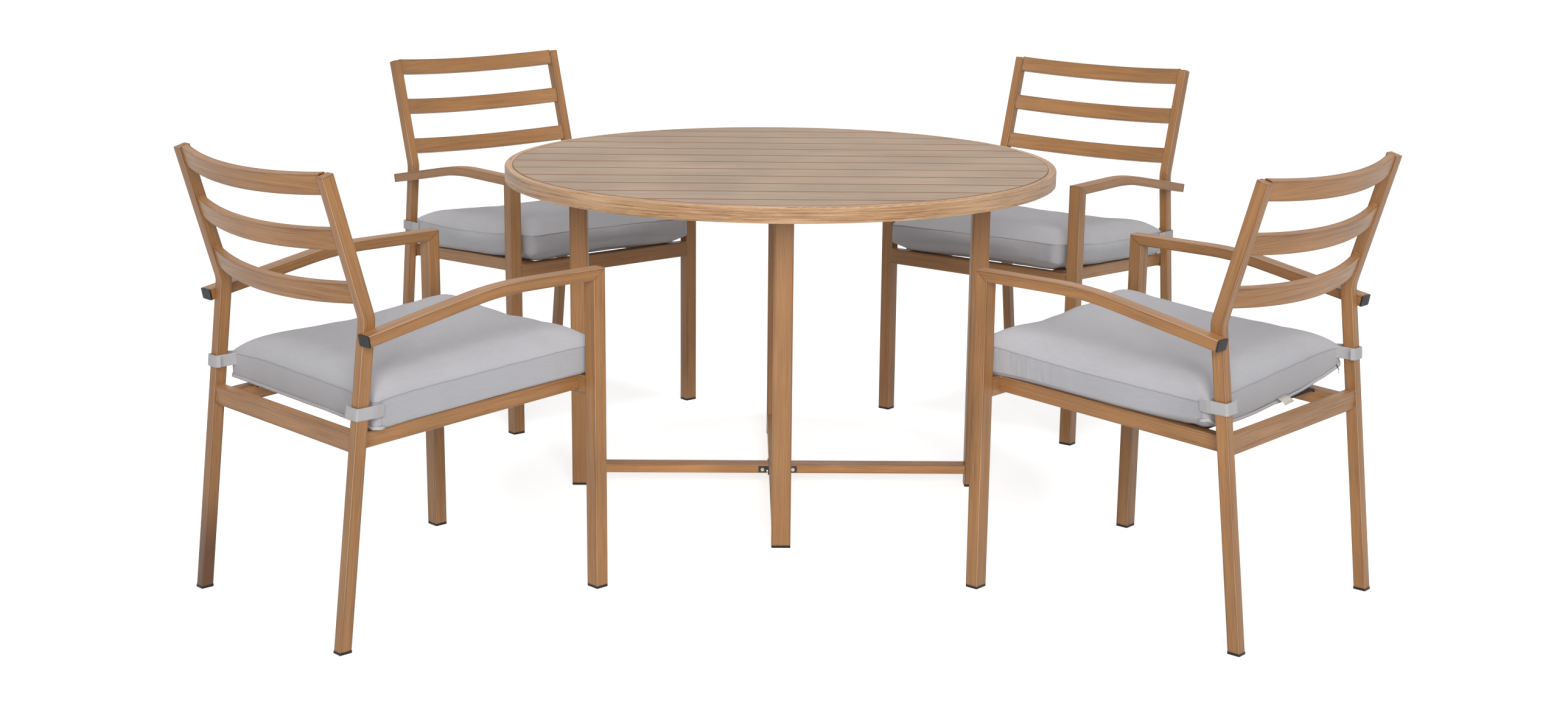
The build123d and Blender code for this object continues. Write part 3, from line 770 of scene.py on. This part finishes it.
def layer(mesh, spot, level, seed):
    """The underside or the top of a cushion, as a grid of vertices."""
    grid = []
    for j in range(GRID_Y + 1):
        b = gathered(j / GRID_Y)
        row = []
        for i in range(GRID_X + 1):
            a = gathered(i / GRID_X)
            x, y = outline_point(a, b)
            if level == "top":
                inside = fullness(a, b, ROUNDING[spot])
                wave = noise.noise(Vector((x * 6 + seed, y * 6, 0.3 * seed)))
                z = seat_z(y) + BELLY + BOXING + (CROWN + WAVE * wave) * inside
                z += edge_lift(TOP_LIFTS[spot], a, b)
            else:
                z = seat_z(y) + BELLY * (1 - min(1.0, 1.3 * fullness(a, b)))
                z += edge_lift(HEM_LIFTS[spot], a, b)
            row.append(mesh.verts.new((x, y, z + front_rise(spot, a, b))))
        grid.append(row)
    for j in range(GRID_Y):
        for i in range(GRID_X):
            quad = (grid[j][i], grid[j][i + 1], grid[j + 1][i + 1], grid[j + 1][i])
            mesh.faces.new(quad if level == "top" else tuple(reversed(quad)))
    return grid


def cushion_mesh(spot, seed):
    """Box cushion before it is blown up; its two seams and upright seams as lists of vertices."""
    mesh = bmesh.new()
    low = border(layer(mesh, spot, "bottom", seed))
    high = border(layer(mesh, spot, "top", seed))
    rows = [low]
    for number in range(1, SIDE_ROWS):
        share = number / SIDE_ROWS
        row = []
        for first, second in zip(low, high):
            point = first.co.lerp(second.co, share)
            a, b = place_in_plan(point)
            bulge = BULGES[spot] * 4 * share * (1 - share) * (1 - abs(a * b))
            row.append(mesh.verts.new(point + outward(point) * bulge))
        rows.append(row)
    rows.append(high)
    count = len(low)
    for under, over in zip(rows, rows[1:]):
        for index in range(count):
            following = (index + 1) % count
            mesh.faces.new((under[index], under[following], over[following], over[index]))
    mesh.verts.index_update()
    places = (GRID_X + UPRIGHT_PLACE, count - UPRIGHT_PLACE)
    uprights = [[row[place].index for row in rows] for place in places]
    return mesh, ([vert.index for vert in low], [vert.index for vert in high]), uprights


def blow_up(obj, seams):
    """Cloth under pressure: the seams draw in, the corners stay full, and no point moves far."""
    start = [vertex.co.copy() for vertex in obj.data.vertices]
    group = obj.vertex_groups.new(name="seams")
    group.add(seams[0] + seams[1], 1.0, "REPLACE")
    modifier = obj.modifiers.new("Cloth", "CLOTH")
    settings = modifier.settings
    settings.quality = 6
    settings.mass = 0.25
    settings.tension_stiffness = 12
    settings.compression_stiffness = 12
    settings.shear_stiffness = 4
    settings.bending_stiffness = 0.5
    settings.use_pressure = True
    settings.uniform_pressure_force = 2.6
    settings.effector_weights.gravity = 0
    settings.vertex_group_shrink = "seams"
    settings.shrink_min = 0.0
    settings.shrink_max = 0.012
    scene = bpy.context.scene
    for number in range(1, CLOTH_FRAMES + 1):
        scene.frame_set(number)
    shown = obj.evaluated_get(bpy.context.evaluated_depsgraph_get())
    moved = [vertex.co.copy() for vertex in shown.data.vertices]
    obj.modifiers.remove(modifier)
    scene.frame_set(1)
    for vertex, first, second in zip(obj.data.vertices, start, moved):
        step = second - first
        if step.length > FARTHEST:
            step = step * (FARTHEST / step.length)
        a, b = place_in_plan(first)
        vertex.co = first + step * (1 - 0.9 * abs(a * b) ** 5)


def near_points(vertices, indices):
    """Search tree of some of a mesh's vertices."""
    tree = KDTree(len(indices))
    for number, index in enumerate(indices):
        tree.insert(vertices[index].co, number)
    tree.balance()
    return tree


def finish_cushion(obj, seams, seed):
    """Flattens the underside where it rests and adds the small puckers along the seams."""
    vertices = obj.data.vertices
    low, high = (near_points(vertices, seam) for seam in seams)
    for vertex in vertices:
        point = vertex.co
        point.z = max(point.z, seat_z(point.y))
        from_high = high.find(point)[2]
        from_low = low.find(point)[2]
        close = max(math.exp(-from_high / TOP_REACH), 0.7 * math.exp(-from_low / LOW_REACH))
        angle = math.atan2(point.y - MIDDLE_Y, point.x)
        ripple = noise.noise(Vector((angle * 24 + seed, seed * 1.7, point.z * 10)))
        swell = noise.noise(Vector((point.x * 14, point.y * 14 + seed, point.z * 6)))
        away = outward(point)
        on_top = point.z > seat_z(point.y) + BELLY + BOXING
        rests = point.z < seat_z(point.y) + 0.002
        if on_top:
            point.z += TOP_RIPPLE * ripple * close + TOP_SWELL * swell
        elif not rests:
            fold = noise.noise(Vector((point.x * 95 + seed, point.y * 95, 3.0)))
            front = max(0.0, place_in_plan(point)[1]) ** 3
            out = SIDE_RIPPLE * ripple * close + SIDE_SWELL * swell * (1 - close)
            point += away * (out + FRONT_FOLD * fold * front)


def raised(points, out, up=0.0):
    """A path moved outward from the cushion's middle, and up."""
    return [point + outward(point) * out + Vector((0, 0, up)) for point in points]


def rolled(spot):
    """How a cushion lies on its seat: rolled about the edge of its resting part."""
    roll = ROLLS[spot]
    side = -math.copysign(RESTING, roll)
    pivot = Matrix.Translation((side, 0, seat_z(0)))
    slope = Matrix.Rotation(math.atan(SEAT_SLOPE), 4, "X")
    turn = slope @ Matrix.Rotation(math.radians(-roll), 4, "Y") @ slope.inverted()
    slide = Matrix.Translation((BOXING * math.sin(math.radians(roll)), 0, 0))
    return slide @ pivot @ turn @ pivot.inverted()


def add_hem(mesh, edge, seed):
    """Narrow hem that hangs from a part of the bottom seam, slightly uneven."""
    path = []
    leaning = []
    for number, (inner, point) in enumerate(zip(edge, raised(edge, HEM_OUT, -HEM_DROP))):
        sag = HEM_SAG * noise.noise(Vector((number * 0.13 + seed, 2.0, 0.0)))
        path.append(point + Vector((0, 0, sag)))
        leaning.append((inner - point).normalized() * 0.5 + Vector((0, 0, 1)))
    ribbon(mesh, path, leaning, HEM_WIDTH, HEM_THICKNESS)


for index, spot in enumerate(CHAIRS):
    place = chair_matrix(spot)
    folds = 0.0045 if spot == "front_right" else 0.0015
    fabric = cloth(f"cushion_fabric_{spot}", FABRIC_TONE, place, THREAD_PITCH, folds=folds)
    hem_fabric = cloth(f"hem_fabric_{spot}", HEM_TONE, place, THREAD_PITCH)
    seam_tone = FRONT_SEAM_TONE if spot.startswith("front") else REAR_SEAM_TONE
    seam_fabric = cloth(f"seam_fabric_{spot}", seam_tone, place, THREAD_PITCH)
    seed = 3.1 * index + 0.7
    mesh, seams, uprights = cushion_mesh(spot, seed)
    cover = add_piece(f"{spot}_cushion_cover", mesh, fabric)
    blow_up(cover, seams)
    finish_cushion(cover, seams, seed)
    cover_shape = [vertex.co.copy() for vertex in cover.data.vertices]
    low = [cover_shape[number] for number in seams[0]]
    top = [cover_shape[number] for number in seams[1]]
    lies = place @ rolled(spot)
    cover.data.transform(lies)
    smooth = cover.modifiers.new("Smooth", "SUBSURF")
    smooth.levels = 1
    smooth.render_levels = 1
    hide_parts(f"chair_{spot}_cushion")
    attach(cover, f"cushion_{spot}")

    piping = bmesh.new()
    thread(piping, raised(top, -0.0002), SEAM_RADIUS, closed=True)
    for upright in uprights:
        thread(piping, raised([cover_shape[number] for number in upright], 0.0001), UPRIGHT_RADIUS)
    seam = add_piece(f"{spot}_cushion_seam", piping, seam_fabric)
    seam.data.transform(lies)
    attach(seam, f"cushion_{spot}")

    hem = bmesh.new()
    add_hem(hem, low[-4:] + low[:GRID_X + 5], seed)
    strip = add_piece(f"{spot}_cushion_hem", hem, hem_fabric)
    strip.data.transform(lies)
    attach(strip, f"cushion_{spot}")


# ---- bare care label and zip pull under one cushion ---------------------------------------------
label_place = chair_matrix("front_right") @ rolled("front_right")
edge_height = seat_z(CUSHION_REAR) + BELLY
label_mesh = bmesh.new()
label_points = [
    Vector((LABEL_X, CUSHION_REAR + 0.012, edge_height - 0.002)),
    Vector((LABEL_X, CUSHION_REAR + 0.002, edge_height - 0.006)),
    Vector((LABEL_X + 0.001, CUSHION_REAR - 0.006, edge_height - 0.013)),
]
ribbon(label_mesh, label_points, [Vector((1, 0, 0))] * 3, LABEL_WIDTH, LABEL_THICKNESS)
label_fabric = cloth("label_fabric", (0.72, 0.68, 0.60), label_place, 0.0008)
label = add_piece("care_label", label_mesh, label_fabric)
label.data.transform(label_place)
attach(label, "cushion_front_right")

pull_mesh = bmesh.new()
pull_points = [
    Vector((PULL_X + 0.001, CUSHION_REAR + 0.004, edge_height + 0.014)),
    Vector((PULL_X, CUSHION_REAR - 0.002, edge_height + 0.005)),
    Vector((PULL_X - 0.003, CUSHION_REAR - 0.003, edge_height - 0.002)),
]
thread(pull_mesh, pull_points, PULL_RADIUS)
pull = add_piece("zip_pull", pull_mesh, dark)
pull.data.transform(label_place)
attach(pull, "cushion_front_right")


# ---- weld beads where the tubes meet ------------------------------------------------------------
def bead(mesh, centre, first, second):
    """Slightly uneven bead round a rectangular tube end; first and second are its half sides."""
    corners = [centre + first + second, centre - first + second]
    corners += [centre - first - second, centre + first - second]
    points = []
    for start, end in zip(corners, corners[1:] + corners[:1]):
        steps = max(2, int((end - start).length / WELD_STEP))
        for step in range(steps):
            point = start.lerp(end, (step + 0.5) / steps)
            shake = noise.noise(point * 500)
            points.append(point + (point - centre).normalized() * WELD_SHAKE * shake)
    thread(mesh, points, WELD_RADIUS, closed=True)


def add_chair_welds(spot):
    """Beads at both ends of the seat rails and the back slats."""
    mesh = bmesh.new()
    lean = math.atan(BACK_LEAN)
    up = Vector((0, -math.sin(lean), math.cos(lean)))
    forward = Vector((0, math.cos(lean), math.sin(lean)))
    for side in (-1, 1):
        for (x, y, z), half_width, half_height in RAIL_WELDS:
            bead(mesh, Vector((side * x, y, z)), Vector(half_width), Vector((0, 0, half_height)))
        x, y, z = BACK_TOP
        for index in range(BACK_SLATS):
            down = BACK_SLAT_PITCH * index + BACK_SLAT_HALF_HEIGHT
            middle = Vector((side * x, y, z)) - down * up + REAR_LEG_DEPTH / 2 * forward
            bead(mesh, middle, forward * BACK_SLAT_HALF_DEPTH, up * BACK_SLAT_HALF_HEIGHT)
    welds = add_piece(f"{spot}_chair_welds", mesh, chair_paint[spot, "seat_frame"])
    welds.data.transform(chair_matrix(spot))
    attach(welds, f"chair_{spot}")


for spot in CHAIRS:
    add_chair_welds(spot)


# ---- bead of paint that closes the joint between the slats and the rim --------------------------
closing = bmesh.new()
circle = []
for number in range(RIM_BEAD_POINTS):
    turn = 2 * math.pi * number / RIM_BEAD_POINTS
    x, y = RIM_BEAD_RADIUS * math.cos(turn), RIM_BEAD_RADIUS * math.sin(turn)
    circle.append(Vector((x, y, RIM_BEAD_HEIGHT)))
thread(closing, circle, RIM_BEAD_THICKNESS, closed=True)
rim_bead = add_piece("table_rim_bead", closing, bead_paint)
rim_bead.data.transform(table_place)
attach(rim_bead, "table")


# ---- straps that tie the cushions to the rear legs ----------------------------------------------
def rear_leg_back(z):
    """Rear face of the rear leg at height z, below the bend."""
    return REAR_FOOT_Y + (REAR_BEND_Y - REAR_FOOT_Y) / REAR_BEND_Z * z


def rounded_path(corners, steps=5):
    """Open path through corners, with each inner corner rounded."""
    path = [corners[0]]
    for before, corner, after in zip(corners, corners[1:], corners[2:]):
        start = corner + (before - corner).normalized() * TIE_BEND
        end = corner + (after - corner).normalized() * TIE_BEND
        for step in range(steps + 1):
            t = step / steps
            path.append((1 - t) ** 2 * start + 2 * t * (1 - t) * corner + t * t * end)
    path.append(corners[-1])
    return path


def add_tie(mesh, side, height):
    """Strap round the rear leg on one side, and its loose end over it."""
    back = rear_leg_back(height) - TIE_OFF
    outer = REAR_LEG_X + REAR_LEG_WIDTH / 2 + TIE_OFF
    inner = REAR_LEG_X - REAR_LEG_WIDTH / 2 - TIE_OFF
    # From the cushion's corner round the leg and back to the corner.
    loop = rounded_path([
        Vector((side * (outer - 0.006), TIE_TIP + 0.010, height - 0.001)),
        Vector((side * outer, TIE_TIP - 0.010, height)),
        Vector((side * outer, back, height)),
        Vector((side * inner, back, height)),
        Vector((side * inner, TIE_TIP - 0.012, height)),
        Vector((side * (inner - 0.004), TIE_TIP + 0.006, height - 0.001)),
    ])
    ribbon(mesh, loop, [Vector((0, 0.12, 1))] * len(loop), TIE_WIDTH, TIE_THICKNESS)
    # From the leg's outer side round its back, with a tip that sticks out.
    flap = rounded_path([
        Vector((side * (outer + FLAP_OFF), TIE_TIP - 0.016, height + 0.001)),
        Vector((side * (outer + FLAP_OFF), back - FLAP_OFF, height + 0.001)),
        Vector((side * (inner - 0.006), back - FLAP_OFF - 0.001, height + 0.0015)),
        Vector((side * (inner - 0.015), back - FLAP_OFF + 0.004, height + 0.003)),
    ])
    last = len(flap) - 1
    ups = [Vector((0.10 * side * step / last, 0.12, 1)) for step in range(len(flap))]
    ribbon(mesh, flap, ups, TIE_WIDTH - 0.001, FLAP_THICKNESS)


def add_ties(spot, place):
    """Both straps of one chair."""
    fabric = cloth(f"tie_fabric_{spot}", TIE_TONE, place, THREAD_PITCH)
    mesh = bmesh.new()
    for side, height in zip((-1, 1), TIE_HEIGHTS[spot]):
        add_tie(mesh, side, height)
    ties = add_piece(f"{spot}_cushion_ties", mesh, fabric, smooth=False)
    ties.data.transform(place)
    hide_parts(f"chair_{spot}_cushion_ties")
    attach(ties, f"chair_{spot}")


for spot in CHAIRS:
    add_ties(spot, chair_matrix(spot))

# ---- floor, light and camera --------------------------------------------------------------------
scene = bpy.context.scene
scene.view_settings.view_transform = "Standard"


def seen_directly(s):
    """1 for rays that show the background as it is: from the camera, in gloss or through glass."""
    rays = s.node("LightPath", {}).outputs
    shown = s.math("MAXIMUM", rays["Is Camera Ray"], rays["Is Glossy Ray"])
    return s.math("MAXIMUM", shown, rays["Is Transmission Ray"])


scene.world = bpy.data.worlds.new("studio")
sky = Shader(scene.world)
background = sky.tree.nodes["Background"].inputs
sky.feed(background["Color"], (1, 1, 1, 1))
strength = sky.span(seen_directly(sky), 0.0, 1.0, WORLD_LIGHT, 1.0, kind="LINEAR")
sky.feed(background["Strength"], strength)

bpy.ops.mesh.primitive_plane_add(size=FLOOR_SIZE, location=(0, 0, -FLOOR_DROP))
floor = bpy.context.object
floor.name = "floor"
pale = Shader(bpy.data.materials.new("pale_floor"))
surface = pale.bsdf.inputs
pale.feed(surface["Base Color"], (FLOOR_TONE, FLOOR_TONE, FLOOR_TONE, 1))
pale.feed(surface["Roughness"], 1.0)
pale.feed(surface["Specular IOR Level"], 0.0)
pale.feed(surface["Emission Color"], (1, 1, 1, 1))
from_set = pale.node("TexCoord", {}).outputs["Object"]
distance = pale.node("VectorMath", {0: from_set}, operation="LENGTH").outputs["Value"]
(near, near_glow), (far, far_glow) = GLOW_NEAR, GLOW_FAR
glow = pale.span(distance, near, far, near_glow, far_glow, kind="LINEAR")
pale.feed(surface["Emission Strength"], pale.math("MULTIPLY", seen_directly(pale), glow))
floor.data.materials.append(pale.owner)

# Soft square lamps that point at their targets.
for name, (stand, target, size, power) in LAMPS.items():
    data = bpy.data.lights.new(name, "AREA")
    data.shape = "SQUARE"
    data.size = size
    data.energy = power
    lamp = bpy.data.objects.new(name, data)
    lamp.location = stand
    lamp.rotation_euler = (Vector(target) - Vector(stand)).to_track_quat("-Z", "Y").to_euler()
    scene.collection.objects.link(lamp)

# The camera stands where the photographer's stood, and looks the same way.
camera_data = bpy.data.cameras.new("camera")
camera_data.sensor_width = CAMERA_SENSOR
camera_data.lens = CAMERA_LENS
camera = bpy.data.objects.new("camera", camera_data)
aim = Matrix.Rotation(-CAMERA_YAW, 4, "Z") @ Matrix.Rotation(math.pi / 2 - CAMERA_PITCH, 4, "X")
tilt = Matrix.Rotation(-CAMERA_ROLL, 4, "Z")
camera.matrix_world = Matrix.Translation(CAMERA_PLACE) @ aim @ tilt
scene.collection.objects.link(camera)
scene.camera = camera
